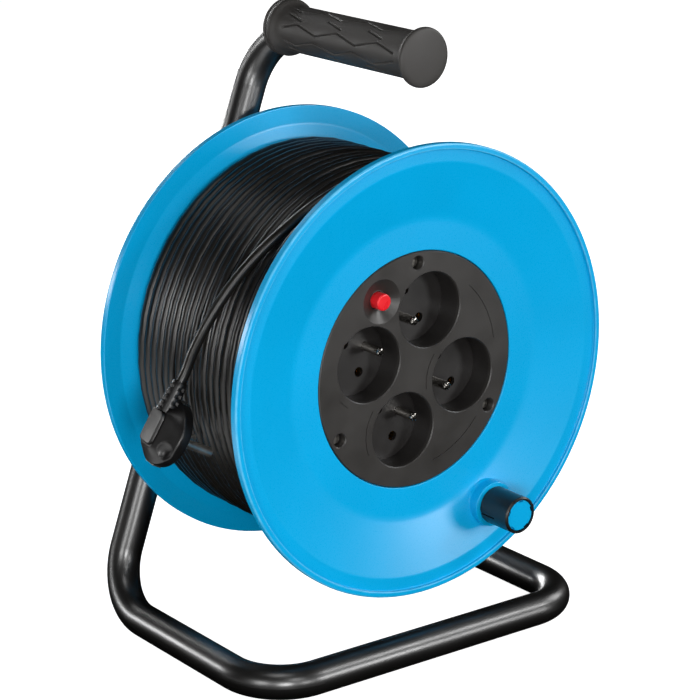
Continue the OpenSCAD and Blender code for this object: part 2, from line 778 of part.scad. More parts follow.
// Two strips through two holes each, joined by a third
module bus_bar(p, y, hole_d) difference() {
  union() {
    strip(p[0], p[1], y);
    strip(p[2], p[3], y);
    strip((p[0] + p[1]) / 2, (p[2] + p[3]) / 2, y);
    for (at = p) pin(at, y, y + bar_t, hole_d + bar_land);
  }
  for (at = p) pin(at, y - cut, y + bar_t + cut, hole_d + 2 * slip_fit);
}

bar_order = [0, 1, 3, 2];

module live_bar() color(brass) at_axle()
  bus_bar([for (k = bar_order) contact_at(k, 0)], live_y, sleeve_out_d);

module neutral_bar() color(brass) at_axle()
  bus_bar([for (k = bar_order) contact_at(k, 180)], neutral_y, sleeve_out_d);

module earth_bar() color(brass) at_axle() bus_bar([for (k = bar_order) earth_at(k)], earth_y, earth_d);

module contact_cover() color(white) at_axle() lathe([
  [carrier_r - cover_wall, cover_y], [carrier_r, cover_y], [carrier_r, cover_y + cover_l],
  [0, cover_y + cover_l], [0, cover_y + cover_l - cover_wall],
  [carrier_r - cover_wall, cover_y + cover_l - cover_wall]
]);

module thermal_cutout() color(black) at_axle() translate(polar(button_pitch_r, button_a)) difference() {
  pin([0, 0, 0], cutout_y, cutout_y + cutout_l, cutout_d);
  pin([0, 0, 0], cutout_y - cut, cutout_y + cutout_l - cutout_end_t, button_stem_d + 2 * run_fit);
}

module reset_button() color(red) at_axle()
  translate(polar(button_pitch_r, button_a, button_y)) lathe(rounded([
    [0, 0], [button_d / 2, 0, 2 * edge_round], [button_d / 2, button_cap_l],
    [button_stem_d / 2, button_cap_l], [button_stem_d / 2, button_cap_l + button_stem_l],
    [0, button_cap_l + button_stem_l]
  ]));

// Inner end of the cord

terminal_y = cover_y + cover_l;

module terminal_block() color(white) at_axle() difference() {
  translate([-terminal.x / 2, terminal_y, terminal_z - terminal.z / 2]) cube(terminal);
  for (x = [-1, 0, 1]) bar(
    [x * terminal_pitch, terminal_y + terminal.y / 2, terminal_z],
    [x * terminal_pitch, terminal_y + terminal.y / 2, terminal_z + terminal.z], terminal_hole_r
  );
}

module inner_cord() color(black) at_axle() {
  corner = [0, inlet_y, terminal_z];
  bar([0, inlet_y, part_gap - barrel_r], corner - [0, 0, inlet_bend], cord_r);
  bend(corner, [0, 0, 1], [0, -1, 0], inlet_bend, cord_r);
  bar(corner - [0, inlet_bend, 0], [0, terminal_y + terminal.y, terminal_z], cord_r);
}

module cord_grommet() color(black) at_axle() bar(
  [0, inlet_y, grommet_set - barrel_r], [0, inlet_y, grommet_set - barrel_in_r],
  cord_r + grommet_wall, cord_r + slip_fit
);

// Wound cord

core_face_y = dish + flange_t + part_gap;

// Layers below the outer one, with a ramp where the cord climbs to the outer layer
module winding_core() color(black) at_axle() {
  core_top_y = rim_drop + flange_t + face_slope * (rim_in_r - core_r) + part_gap;
  profile = [[barrel_r + slip_fit, core_face_y], [flat_r, core_face_y], [core_r, core_top_y]];
  lathe(concat(profile, [for (i = [len(profile) - 1:-1:0]) [profile[i].x, drum_w - profile[i].y]]));
  start = wind_path[0];
  start_a = atan2(start.z, start.x);
  ramp = [
    [core_r - core_sink, start_a], [layer_r + ramp_r, start_a], [core_r - core_gap, start_a - ramp_a / 2],
    [core_r - core_sink, start_a - ramp_a / 3]
  ];
  translate([0, start.y + ramp_r, 0]) rotate([90, 0, 0]) linear_extrude(2 * ramp_r)
    polygon([for (p = ramp) [p[0] * cos(p[1]), p[0] * sin(p[1])]]);
}

function wind_point(k) =
  let (share = k / wind_rings)
  polar(
    layer_r, wind_end_a - 360 * wind_turns * (1 - share), wind_rear_y + (wind_front_y - wind_rear_y) * share
  );
wind_turns_path = [for (k = [0:wind_rings]) wind_point(k)];
wind_in = unit(wind_turns_path[1] - wind_turns_path[0]);
wind_out = unit(wind_turns_path[wind_rings] - wind_turns_path[wind_rings - 1]);
wind_path = concat(
  [wind_turns_path[0] - wind_in * cord_d], wind_turns_path, [wind_turns_path[wind_rings] + wind_out * cord_d]
);

// Least distance between the surfaces of neighbouring turns, taken on the ring points
wind_points = ring_points(wind_turns_path, cord_r, wind_sides);
wind_gap = min([
  for (i = [0:wind_rings - rings_per_turn]) for (j = [0:wind_sides - 1])
    for (n = [rings_per_turn - 1:rings_per_turn + 1]) if (i + n <= wind_rings)
      for (m = [0:wind_sides - 1])
        norm(wind_points[i * wind_sides + j] - wind_points[(i + n) * wind_sides + m])
]);
echo(winding_turns = wind_turns, winding_gap = wind_gap);

module cord_winding() color(black) at_axle() swept_tube(wind_path, cord_r, wind_sides);

// Plug

module at_plug() translate(plug_at) rotate(plug_turn) children();

// The same placing for a point of the plug, to bring the cord to its strain relief
function turn_x(p, a) = [p.x, p.y * cos(a) - p.z * sin(a), p.y * sin(a) + p.z * cos(a)];
function turn_y(p, a) = [p.x * cos(a) + p.z * sin(a), p.y, p.z * cos(a) - p.x * sin(a)];
function turn_z(p, a) = [p.x * cos(a) - p.y * sin(a), p.x * sin(a) + p.y * cos(a), p.z];
function plug_point(p) = plug_at + turn_z(turn_y(turn_x(p, plug_turn.x), plug_turn.y), plug_turn.z);
relief_top = plug_point(relief_at + [0, 0, relief_l]);
relief_lead = plug_point(relief_at + [0, 0, relief_l + cord_d]);

module cord_tail() color(black) at_axle() {
  wind_end = wind_path[len(wind_path) - 1];
  route = concat([wind_end, wind_end + wind_out * cord_d], tail_route, [relief_lead, relief_top]);
  swept_tube(route, cord_r, tail_sides);
}

module plug_body() color(black) at_axle() at_plug() difference() {
  union() {
    bar([-plug_head_l, 0, 0], [0, 0, 0], plug_head_d / 2);
    translate([0, plug_grip_w / 2, 0]) rotate([90, 0, 0]) linear_extrude(plug_grip_w) polygon(rounded([
      [cut - plug_head_l, -plug_back_h], [-plug_l, plug_back_slope - plug_back_h, plug_back_round],
      [-plug_l, plug_back_h - plug_back_slope, plug_back_round], [cut - plug_head_l, plug_back_h]
    ]));
    translate(relief_at - [0, 0, relief_sink])
      cylinder(h = relief_l + relief_sink, r1 = relief_r, r2 = cord_r + relief_wall);
  }
  for (side = [-1, 1]) earth_clip(side, cut);
}

module plug_pins() color(steel) at_axle() at_plug() for (side = [-1, 1])
  bar([0, side * contact_gap / 2, 0], [plug_pin_l, side * contact_gap / 2, 0], plug_pin_d / 2);

// Earth contact on one side of the head; the margin lets the same shape cut its seat
module earth_clip(side, margin = 0) rotate([90 - side * 90, 0, 0])
  translate([-clip_l, -clip_w / 2, plug_head_d / 2 - clip_t]) cube([clip_l + margin, clip_w, clip_t + margin]);

module plug_earth_clips() color(steel) at_axle() at_plug() for (side = [-1, 1]) earth_clip(side);

leg_tube();
base_tube();
stay_tube();
handle_grip();
axle_sleeve();
axle_bolt();
axle_washers();
axle_saddles();
axle_nut();
front_drum_half();
rear_drum_half();
drum_screws();
hub_bushes();
knob_spindle();
crank_knob();
face_plate();
plate_screws();
socket_cup(0);  // socket_cup_1
socket_cup(1);  // socket_cup_2
socket_cup(2);  // socket_cup_3
socket_cup(3);  // socket_cup_4
earth_pins();
contact_sleeves();
contact_carrier();
live_bar();
neutral_bar();
earth_bar();
contact_cover();
thermal_cutout();
reset_button();
terminal_block();
inner_cord();
cord_grommet();
winding_core();
cord_winding();
cord_tail();
plug_body();
plug_pins();
plug_earth_clips();
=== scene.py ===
"""Looks of an extension cord reel: its wound cord, plug, grip and finishes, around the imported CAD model."""

import math

import bpy
from bpy.props import FloatProperty, FloatVectorProperty, IntProperty, PointerProperty
from mathutils import Euler, Matrix, Vector


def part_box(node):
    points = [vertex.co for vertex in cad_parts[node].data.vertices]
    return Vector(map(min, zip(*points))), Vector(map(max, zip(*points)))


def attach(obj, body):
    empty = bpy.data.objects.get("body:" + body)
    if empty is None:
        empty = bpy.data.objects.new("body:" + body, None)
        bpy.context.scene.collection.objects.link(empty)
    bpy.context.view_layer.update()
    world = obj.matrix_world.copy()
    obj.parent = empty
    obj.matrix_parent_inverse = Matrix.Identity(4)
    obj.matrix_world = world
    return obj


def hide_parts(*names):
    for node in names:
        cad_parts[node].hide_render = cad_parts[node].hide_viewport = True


bl_info = {
    "name": "Extension cord reel",
    "version": (1, 0, 0),
    "blender": (4, 5, 0),
    "location": "View3D > Sidebar > Cord reel",
    "description": "Builds the cord, plug, grip and finishes of a cord reel around its CAD model",
    "category": "Object",
}

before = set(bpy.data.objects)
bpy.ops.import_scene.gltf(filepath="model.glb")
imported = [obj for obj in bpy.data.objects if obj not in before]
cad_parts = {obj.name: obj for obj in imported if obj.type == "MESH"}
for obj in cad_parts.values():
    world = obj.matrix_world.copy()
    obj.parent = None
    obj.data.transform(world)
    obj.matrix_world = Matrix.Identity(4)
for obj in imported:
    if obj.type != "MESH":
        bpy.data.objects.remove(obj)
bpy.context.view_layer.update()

MM = 0.001
FRONT_LOW, FRONT_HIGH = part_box("front_drum_half")
REAR_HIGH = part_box("rear_drum_half")[1]
# The drum's own frame has its origin on the axle, in the plane of the front rim.
DRUM_ORIGIN = Vector((0, FRONT_LOW.y, (FRONT_LOW.z + FRONT_HIGH.z) / 2))
DRUM_WIDTH = REAR_HIGH.y - FRONT_LOW.y
FLANGE_RADIUS = (FRONT_HIGH.z - FRONT_LOW.z) / 2
GRIP_LOW, GRIP_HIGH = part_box("handle_grip")


def on_drum(point):
    """A point of the drum's own frame, in millimetres, as a point of the part in metres."""
    return DRUM_ORIGIN + Vector(point) * MM


def linear(code):
    """An sRGB hex colour as the linear colour that a shader takes."""
    parts = [int(code[i:i + 2], 16) / 255 for i in (1, 3, 5)]
    return [p / 12.92 if p <= 0.04045 else ((p + 0.055) / 1.055) ** 2.4 for p in parts] + [1.0]


# Sizes and colours that a user would change


def length_property(name, description, millimetres):
    """A length that the sidebar shows, given in millimetres."""
    return FloatProperty(name=name, description=description, default=millimetres * MM, unit="LENGTH")


def angle_property(name, description, degrees):
    """An angle that the sidebar shows, given in degrees."""
    return FloatProperty(name=name, description=description, default=math.radians(degrees), subtype="ANGLE")


def place_property(name, description, millimetres):
    """A place that the sidebar shows, given in millimetres."""
    default = [v * MM for v in millimetres]
    return FloatVectorProperty(name=name, description=description, default=default, subtype="TRANSLATION")


def turn_property(name, description, degrees):
    """A turn about X, Y and Z that the sidebar shows, given in degrees."""
    default = [math.radians(v) for v in degrees]
    return FloatVectorProperty(name=name, description=description, default=default, subtype="EULER")


def colour_property(name, description, code):
    """A colour that the sidebar shows, given as an sRGB hex value."""
    return FloatVectorProperty(
        name=name, description=description, default=linear(code), size=4, subtype="COLOR", min=0, max=1)


class CordSizes(bpy.types.PropertyGroup):
    """The wound mains cord."""

    diameter: length_property("Diameter", "Outer diameter of the cord's sheath", 5.6)
    length: length_property("Length", "Length of the cord from the drum to the plug", 50000)
    layers: IntProperty(name="Layers", description="Layers of turns on the barrel", default=5, min=1, max=6)
    outer_radius: length_property("Outer layer", "Radius of the outer layer's centre line", 101.3)
    pitch: length_property("Pitch", "Distance between neighbouring turns", 5.7)
    end_angle: angle_property("End", "Angle at which the outer layer ends", 58)


class PlugSizes(bpy.types.PropertyGroup):
    """The angled plug at the cord's free end."""

    place: place_property(
        "Place", "Middle of the pin face, from the axle at the front rim", (-121, 54.5, -23))
    turn: turn_property("Turn", "How the plug is turned, with its pins along its own X", (5, 28, -5))
    head: length_property("Head", "Diameter of the plug's round head", 35)
    depth: length_property("Depth", "Depth of the plug from its pin face to its back", 14)


class GripSizes(bpy.types.PropertyGroup):
    """The rubber grip on the handle."""

    radius: length_property("Radius", "Radius of the grip between its cap and its collar", 12.3)
    groove_depth: length_property("Groove depth", "Depth of the zigzag grooves", 0.8)
    groove_width: length_property("Groove width", "Width of the zigzag grooves", 1.0)
    period: length_property("Period", "Length of one zigzag", 33.5)
    swing: length_property("Swing", "How far a zigzag swings to each side", 2.1)


class Finishes(bpy.types.PropertyGroup):
    """Colours of the materials."""

    flange: colour_property("Flanges", "Moulded flanges, boss and spindle", "#00A2DA")
    insert: colour_property("Face plate", "Face plate of the socket insert", "#2A2826")
    # The socket cups are darker than the face plate: painted shade inside the socket wells.
    cups: colour_property("Socket cups", "Socket cups of the insert", "#1E1C1B")
    grip: colour_property("Grip", "Rubber of the grip", "#32302E")
    cord: colour_property("Cord", "Sheath of the cord", "#12100D")
    plug: colour_property("Plug", "Rubber of the plug", "#0D0C0C")
    enamel: colour_property("Frame", "Enamel of the tube", "#0B0A09")
    button: colour_property("Button", "Reset button", "#E01C26")


class StageSettings(bpy.types.PropertyGroup):
    """Camera of the photograph."""

    azimuth: angle_property("Azimuth", "How far the camera stands to the left of the drum's axis", 37.60)
    elevation: angle_property("Elevation", "How far the camera looks down", 16.88)
    roll: angle_property("Roll", "Tilt of the camera about its own line of sight", 0.42)
    distance: length_property("Distance", "From the camera to the point it looks at", 1220.58)
    target: place_property(
        "Target", "Middle of the view, from the axle at the front rim", (-50.56, 0, 22.16))
    lens: FloatProperty(name="Lens", description="Focal length on a 36 mm sensor", default=126.16)


# Meshes and curves


def add_mesh(name, points, faces, sharp=math.radians(40)):
    """A smooth-shaded mesh object whose creases stay sharp."""
    mesh = bpy.data.meshes.new(name)
    mesh.from_pydata(points, [], faces)
    mesh.validate()
    mesh.shade_smooth()
    mesh.set_sharp_from_angle(angle=sharp)
    piece = bpy.data.objects.new(name, mesh)
    bpy.context.scene.collection.objects.link(piece)
    return piece


def loft_faces(rings, count, start=0):
    """Faces of a closed skin through rings of equally many points, with both ends filled."""
    faces = []
    for i in range(rings - 1):
        for j in range(count):
            k = (j + 1) % count
            a = start + i * count
            faces.append((a + j, a + k, a + count + k, a + count + j))
    last = start + (rings - 1) * count
    faces.append(tuple(start + j for j in reversed(range(count))))
    faces.append(tuple(last + j for j in range(count)))
    return faces


def around(radius, depth, turn):
    """A point at a radius and an angle about an axis along Y, and at a depth along that axis."""
    return radius * math.cos(turn), depth, radius * math.sin(turn)


def spline_points(points, steps):
    """A smooth curve through points, with a number of steps between neighbours."""
    ends = [points[0] * 2 - points[1]] + list(points) + [points[-1] * 2 - points[-2]]
    smooth = []
    for i in range(1, len(ends) - 2):
        a, b, c, d = ends[i - 1:i + 3]
        for s in range(steps):
            t = s / steps
            bend = (2 * a - 5 * b + 4 * c - d) * t ** 2
            twist = (3 * b - a - 3 * c + d) * t ** 3
            smooth.append(0.5 * (2 * b + (c - a) * t + bend + twist))
    return smooth + [points[-1]]


# Material tools


def add_node(tree, kind, inputs=None, **settings):
    """A node with its settings; an input is a value, or another node's output to link."""
    made = tree.nodes.new(kind)
    for key, value in settings.items():
        setattr(made, key, value)
    for key, value in (inputs or {}).items():
        if isinstance(value, bpy.types.NodeSocket):
            tree.links.new(value, made.inputs[key])
        else:
            made.inputs[key].default_value = value
    return made


def start_material(name):
    """A new material with nothing in it but the object's own coordinates."""
    material = bpy.data.materials.new(name)
    material.use_nodes = True
    tree = material.node_tree
    tree.nodes.clear()
    place = add_node(tree, "ShaderNodeTexCoord").outputs["Object"]
    return material, tree, place


def finish_material(tree, inputs):
    """Ends a material with its shader, whose inputs are given by name."""
    shader = add_node(tree, "ShaderNodeBsdfPrincipled", inputs)
    add_node(tree, "ShaderNodeOutputMaterial", {"Surface": shader.outputs["BSDF"]})


def noise(tree, place, size, detail, distortion=0.0):
    """A cloudy pattern between 0 and 1, whose clouds have a size in metres."""
    inputs = {"Vector": place, "Scale": 1 / size, "Detail": detail, "Distortion": distortion}
    return add_node(tree, "ShaderNodeTexNoise", inputs).outputs["Fac"]


def spread(tree, pattern, low, high, start=0.3, stop=0.7):
    """A pattern's values between start and stop, spread from low to high."""
    inputs = {"Value": pattern, "From Min": start, "From Max": stop, "To Min": low, "To Max": high}
    return add_node(tree, "ShaderNodeMapRange", inputs).outputs["Result"]


def tinted(tree, colour, pattern, low, high, **limits):
    """A colour whose brightness is multiplied by a pattern, spread from low to high."""
    inputs = {"Color": colour, "Value": spread(tree, pattern, low, high, **limits)}
    return add_node(tree, "ShaderNodeHueSaturation", inputs).outputs["Color"]


def bumped(tree, pattern, strength, height=0.1 * MM):
    """A normal that follows the ups and downs of a pattern, with a height in metres."""
    inputs = {"Height": pattern, "Strength": strength, "Distance": height}
    return add_node(tree, "ShaderNodeBump", inputs).outputs["Normal"]


def vector_math(tree, operation, a, b=(0, 0, 0), result="Vector"):
    """What an operation on vectors gives: a vector, or a number where the result is Value."""
    return add_node(tree, "ShaderNodeVectorMath", {0: a, 1: b}, operation=operation).outputs[result]


def scalar_math(tree, operation, a, b):
    """What an operation on two numbers gives."""
    return add_node(tree, "ShaderNodeMath", {0: a, 1: b}, operation=operation).outputs["Value"]


def dress(material, *names):
    """Gives a material to CAD nodes or to pieces, by name."""
    for name in names:
        materials = bpy.data.objects[name].data.materials
        materials.clear()
        materials.append(material)


# Materials

# The bead along a flange's rim, and how far the middle of its rounded outer edge lies inside the corner
BEAD_WIDTH = 3.2 * MM
EDGE_INSET = 0.35 * MM
# The painted highlight is full up to the first distance from an edge, and ends at the second.
FULL_HIGHLIGHT = 0.25 * MM
NO_HIGHLIGHT = 0.8 * MM


def rim_highlight(tree, place):
    """How much painted highlight a point of a flange gets: 1 along both edges of the bead on its rim, 0
    elsewhere.
    """
    from_axle = vector_math(tree, "SUBTRACT", place, DRUM_ORIGIN)
    flat = vector_math(tree, "MULTIPLY", from_axle, (1, 0, 1))
    radius = vector_math(tree, "LENGTH", flat, result="Value")
    depth = add_node(tree, "ShaderNodeSeparateXYZ", {"Vector": from_axle}).outputs["Y"]
    # The rear flange is the front one's mirror image.
    nearer = scalar_math(tree, "MINIMUM", depth, scalar_math(tree, "SUBTRACT", DRUM_WIDTH, depth))
    section = add_node(tree, "ShaderNodeCombineXYZ", {"X": radius, "Y": nearer}).outputs["Vector"]
    outer_edge = (FLANGE_RADIUS - EDGE_INSET, EDGE_INSET, 0)
    inner_edge = (FLANGE_RADIUS - BEAD_WIDTH, 0, 0)
    to_outer = vector_math(tree, "DISTANCE", section, outer_edge, result="Value")
    to_inner = vector_math(tree, "DISTANCE", section, inner_edge, result="Value")
    return spread(tree, scalar_math(tree, "MINIMUM", to_outer, to_inner), 1.0, 0.0, FULL_HIGHLIGHT, NO_HIGHLIGHT)


def moulded_polypropylene(colour):
    """Injection-moulded polypropylene: saturated, satin, with a fine grain and a painted pale highlight along
    both edges of each rim's bead.
    """
    material, tree, place = start_material("Moulded polypropylene")
    # The mould's grain is about 0.4 mm, and the patches that break up the painted highlight on the rim are a
    # few millimetres long.
    grain = noise(tree, place, size=0.4 * MM, detail=2.0)
    cloud = noise(tree, place, size=45 * MM, detail=2.0)
    highlight_patches = noise(tree, place, size=7 * MM, detail=3.0)
    # Painted highlight: a pale blue laid along both edges of the rim's bead, broken into patches.
    wear_and_highlight = scalar_math(tree, "MULTIPLY", rim_highlight(tree, place), spread(tree, highlight_patches, 0.12, 0.4, stop=0.65))
    layers = {"Factor": wear_and_highlight, "A": tinted(tree, colour, cloud, 0.97, 1.03), "B": linear("#8ADAF6")}
    finish_material(tree, {
        "Base Color": add_node(tree, "ShaderNodeMix", layers, data_type="RGBA").outputs["Result"],
        "Roughness": spread(tree, grain, 0.26, 0.32),
        "Normal": bumped(tree, grain, 0.05),
        "IOR": 1.49})
    return material


def moulded_polycarbonate(name, colour):
    """Fine-textured polycarbonate: warm dark grey, dull on faces, a little brighter where rubbed."""
    material, tree, place = start_material(name)
    # The grain is coarser than a real mould's, which would be too fine to show.
    grain = noise(tree, place, size=0.7 * MM, detail=3.0)
    handling = noise(tree, place, size=18 * MM, detail=3.0)
    finish_material(tree, {
        "Base Color": tinted(tree, colour, handling, 0.92, 1.08),
        "Roughness": spread(tree, handling, 0.34, 0.46),
        "Normal": bumped(tree, grain, 0.15),
        "IOR": 1.58})
    return material


def moulded_rubber(name, colour, glossy, dull, grain):
    """Soft thermoplastic rubber: near black, dull, with a faint mottle and a fine stipple."""
    material, tree, place = start_material(name)
    # The stipple is coarser than on real rubber, where it would be too fine to show.
    stipple = noise(tree, place, size=grain, detail=4.0)
    mottle = noise(tree, place, size=12 * MM, detail=3.0)
    finish_material(tree, {
        "Base Color": tinted(tree, colour, mottle, 0.88, 1.12),
        "Roughness": spread(tree, mottle, glossy, dull),
        "Normal": bumped(tree, stipple, 0.2),
        "IOR": 1.5})
    return material


def stove_enamel(colour):
    """Black stove enamel on steel tube: deep black, with soft highlights and a slight orange peel."""
    material, tree, place = start_material("Black stove enamel")
    # Orange peel has waves of about 3 mm.
    peel = noise(tree, place, size=3 * MM, detail=1.0)
    wear_and_highlight = noise(tree, place, size=25 * MM, detail=4.0)
    finish_material(tree, {
        "Base Color": colour,
        "Roughness": spread(tree, wear_and_highlight, 0.32, 0.37, start=0.35),
        "Normal": bumped(tree, peel, 0.05),
        "IOR": 1.52,
        "Specular IOR Level": 0.7,
        "Coat Weight": 0.8,
        "Coat Roughness": 0.3})
    return material


def plated_metal(name, code, glossy, dull):
    """Plated metal: bright, with faint drawing marks and cloudy patches."""
    material, tree, place = start_material(name)
    # The drawing marks are coarser than real ones, which would be too fine to show.
    marks = noise(tree, place, size=0.8 * MM, detail=5.0)
    cloud = noise(tree, place, size=6 * MM, detail=2.0)
    finish_material(tree, {
        "Base Color": tinted(tree, linear(code), cloud, 0.9, 1.0),
        "Roughness": spread(tree, cloud, glossy, dull),
        "Normal": bumped(tree, marks, 0.08, height=0.05 * MM),
        "Metallic": 1.0})
    return material


def polyamide(name, colour, glossy, dull):
    """Moulded polyamide: smooth, a soft gloss, with faint flow marks."""
    material, tree, place = start_material(name)
    flow = noise(tree, place, size=5 * MM, detail=3.0, distortion=0.6)
    finish_material(tree, {
        "Base Color": tinted(tree, colour, flow, 0.93, 1.05),
        "Roughness": spread(tree, flow, glossy, dull),
        "Normal": bumped(tree, flow, 0.05),
        "IOR": 1.53})
    return material


# Where the cord meets the plug, in millimetres of the plug's own frame

# The plug's pins lie along X, and its strain relief along Z from this foot.
RELIEF_FOOT = Vector((-9.6, 0, 9.5))
RELIEF_LENGTH = 17


def plug_matrix(plug):
    """From the plug's own frame, in millimetres, to the part."""
    turn = Euler(plug.turn, "XYZ").to_matrix().to_4x4()
    return Matrix.Translation(DRUM_ORIGIN + Vector(plug.place)) @ turn @ Matrix.Scale(MM, 4)


# Cord, in millimetres of the drum's own frame

# Free end of the cord, as the CAD has it, and the steps of its curve between two points
TAIL_ROUTE = [
    (38.5, 10.5, 95.5), (24, 11, 103), (7.5, 12.5, 107), (-9.5, 15, 107), (-26, 18, 104),
    (-42, 21, 98.5), (-57, 24, 91), (-70.5, 28, 81), (-82, 33.5, 69.5), (-92, 39.5, 56),
    (-100, 43.5, 43.5), (-106.5, 46.5, 31.5), (-111.3, 49.5, 19.9)]
TAIL_STEPS = 6
# Where the cord comes out of the barrel, and the share of a turn at which that hole lies, below the axle
HOLE_TURN = 0.75
# Inner face of the front flange: its depth at the rim, and the slope that starts inside a radius
FACE_DEPTH = 4.4
SLOPE_RADIUS = 110
SLOPE_WIDTH = 30
SLOPE_DEPTH = 7.5
# Gap between a layer's end turn and the flange
TOP_GAP = 1.0
INNER_GAP = 0.4
# Turns that the cord takes to climb to the next layer, and the steps of that climb
CLIMB = 0.5
CLIMB_STEPS = 12
# Steps of each turn, on the outer layer and on those below it
TOP_STEPS = 48
INNER_STEPS = 24
# Hand winding is never quite even: swing, waves per radian and shift from layer to layer
SIDE_WAVES = ((0.22, 0.43, 1), (0.12, 1.7, 2))
LIFT_WAVES = ((0.18, 0.61, 3),)
# The unevenness fades out over one sixth of a layer at each end.
FADE = 6


def flange_face(radius):
    """Depth of the front flange's inner face at a radius."""
    share = max(0.0, min(SLOPE_RADIUS - radius, SLOPE_WIDTH)) / SLOPE_WIDTH
    return FACE_DEPTH + share * SLOPE_DEPTH


def winding_layers(cord):
    """Radius, front end and rear end of each layer of turns, from the barrel outwards."""
    diameter = cord.diameter / MM
    layers = []
    for above in reversed(range(cord.layers)):
        radius = cord.outer_radius / MM - diameter * above
        front = flange_face(radius) + diameter / 2 + (INNER_GAP if above else TOP_GAP)
        layers.append((radius, front, DRUM_WIDTH / MM - front))
    return layers


def uneven(waves, turn, index):
    """How far slow waves along the winding shift a point of a layer."""
    return sum(swing * math.sin(turn * rate + shift * index) for swing, rate, shift in waves)


def layer_points(index, radius, ends, start, turns, top):
    """The turns of one layer, from one end to the other."""
    steps = round(turns * (TOP_STEPS if top else INNER_STEPS))
    points = []
    for s in range(steps + 1):
        share = s / steps
        turn = start + 2 * math.pi * turns * share
        fade = min(1, FADE * share, FADE * (1 - share))
        lift = uneven(LIFT_WAVES, turn, index) * fade if top else 0
        depth = ends[0] + (ends[1] - ends[0]) * share + uneven(SIDE_WAVES, turn, index) * fade
        points.append(around(radius + lift, depth, turn))
    return points


def climb_points(lower, upper, start):
    """The way from a layer's end to the next layer's start, each given as a radius and a depth."""
    points = []
    for s in range(1, CLIMB_STEPS):
        share = s / CLIMB_STEPS
        ease = share * share * (3 - 2 * share)
        radius, depth = (a + (b - a) * ease for a, b in zip(lower, upper))
        points.append(around(radius, depth, start + 2 * math.pi * CLIMB * share))
    return points


def winding_points(cord):
    """The wound cord, from the hole in the barrel to the end of the outer layer."""
    layers = winding_layers(cord)
    turns = [(rear - front) / (cord.pitch / MM) for radius, front, rear in layers]
    climbs = CLIMB * (len(layers) - 1)
    # The first layer has a part of a turn less, so that it starts at the barrel's hole.
    start = cord.end_angle / (2 * math.pi) - sum(turns) - climbs
    turns[0] -= (HOLE_TURN - start) % 1
    angle = cord.end_angle - 2 * math.pi * (sum(turns) + climbs)
    points = []
    for i, (radius, front, rear) in enumerate(layers):
        above = len(layers) - 1 - i
        rearward = above % 2 == 1
        ends = (front, rear) if rearward else (rear, front)
        points += layer_points(i, radius, ends, angle, turns[i], top=above == 0)
        angle += 2 * math.pi * turns[i]
        if above:
            next_radius, next_front, next_rear = layers[i + 1]
            landing = (next_radius, next_rear if rearward else next_front)
            points += climb_points((radius, ends[1]), landing, angle)
            angle += 2 * math.pi * CLIMB
    return points


def cord_route(cord, plug):
    """The cord's centre line in metres, from the barrel, through all its layers, to the plug."""
    wound = [on_drum(point) for point in winding_points(cord)]
    ahead = (wound[-1] - wound[-2]).normalized() * cord.diameter
    to_part = plug_matrix(plug)
    relief_end = RELIEF_FOOT + Vector((0, 0, RELIEF_LENGTH))
    lead = Vector((0, 0, cord.diameter / MM))
    tail = [wound[-1], wound[-1] + ahead]
    tail += [on_drum(point) for point in TAIL_ROUTE]
    tail += [to_part @ (relief_end + lead), to_part @ (relief_end - lead)]
    return wound[:-1] + spline_points(tail, TAIL_STEPS)


class REEL_OT_cord(bpy.types.Operator):
    """Winds the mains cord on the drum, from the barrel to the plug, in one piece"""

    bl_idname = "reel.cord"
    bl_label = "Wind the cord"

    def execute(self, context):
        scene = context.scene
        cord = scene.reel_cord
        route = cord_route(cord, scene.reel_plug)
        curve = bpy.data.curves.new("cord_line", "CURVE")
        curve.dimensions = "3D"
        curve.bevel_depth = cord.diameter / 2
        curve.bevel_resolution = 4
        curve.use_fill_caps = True
        line = curve.splines.new("POLY")
        line.points.add(len(route) - 1)
        line.points.foreach_set("co", [v for point in route for v in (*point, 1.0)])
        guide = bpy.data.objects.new("cord_line", curve)
        scene.collection.objects.link(guide)
        tube = bpy.data.meshes.new_from_object(guide.evaluated_get(context.evaluated_depsgraph_get()))
        tube.name = "mains_cord"
        bpy.data.objects.remove(guide)
        bpy.data.curves.remove(curve)
        tube.shade_smooth()
        piece = bpy.data.objects.new("mains_cord", tube)
        scene.collection.objects.link(piece)
        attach(piece, "drum")
        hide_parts("winding_core", "cord_winding", "cord_tail")
        colour = scene.reel_finish.cord
        sheath = moulded_rubber("PVC cord sheath", colour, glossy=0.3, dull=0.36, grain=0.8 * MM)
        dress(sheath, "mains_cord")
        return {"FINISHED"}


# Plug, in millimetres of its own frame

# Points around each section, and the squareness of a round one; a larger number is squarer
SKIN_COUNT = 112
ROUND = 2.0
# Rounded head: depth from the pin face, and how far the section draws in from the head's edge
HEAD_EDGE = [
    (0, 3.0), (0, 1.0), (-0.08, 0.6), (-0.3, 0.25), (-0.7, 0.05), (-1.2, 0),
    (-3.5, 0), (-4.6, 0.02), (-5.2, 0.1)]
# Wedge from the round head to the narrow back: where it starts, how far it draws in there, how much
# narrower and lower it gets, how far its middle moves, and how much squarer it gets
WEDGE_START = -5.7
WEDGE_INSET = 0.3
WEDGE_NARROWS = 10.6
WEDGE_LOWERS = 6.8
WEDGE_SHIFT = 0.6
WEDGE_SQUARES = 2.6
WEDGE_STEPS = 24
# The back stands on the wedge with a small step: height above the back, half width and half height
BACK_STEP = 1.7
BACK_EDGE = [
    (1.62, 6.3, 9.6), (1.55, 5.95, 9.2), (1.4, 5.8, 9.05), (0.5, 5.7, 8.95),
    (0.15, 5.55, 8.8), (0.03, 5.3, 8.5), (0.0, 4.9, 8.1)]
BACK_SHIFT = 0.65
BACK_SQUARE = 5.5
# Round finger mark in each side: its middle, radius, depth and the direction in which it is pressed
MARK_PLACE = Vector((-8.4, 13.0, -7.4))
MARK_RADIUS = 4.6
MARK_DEPTH = 1.9
MARK_INWARD = Vector((0.62, -0.75, 0.2))
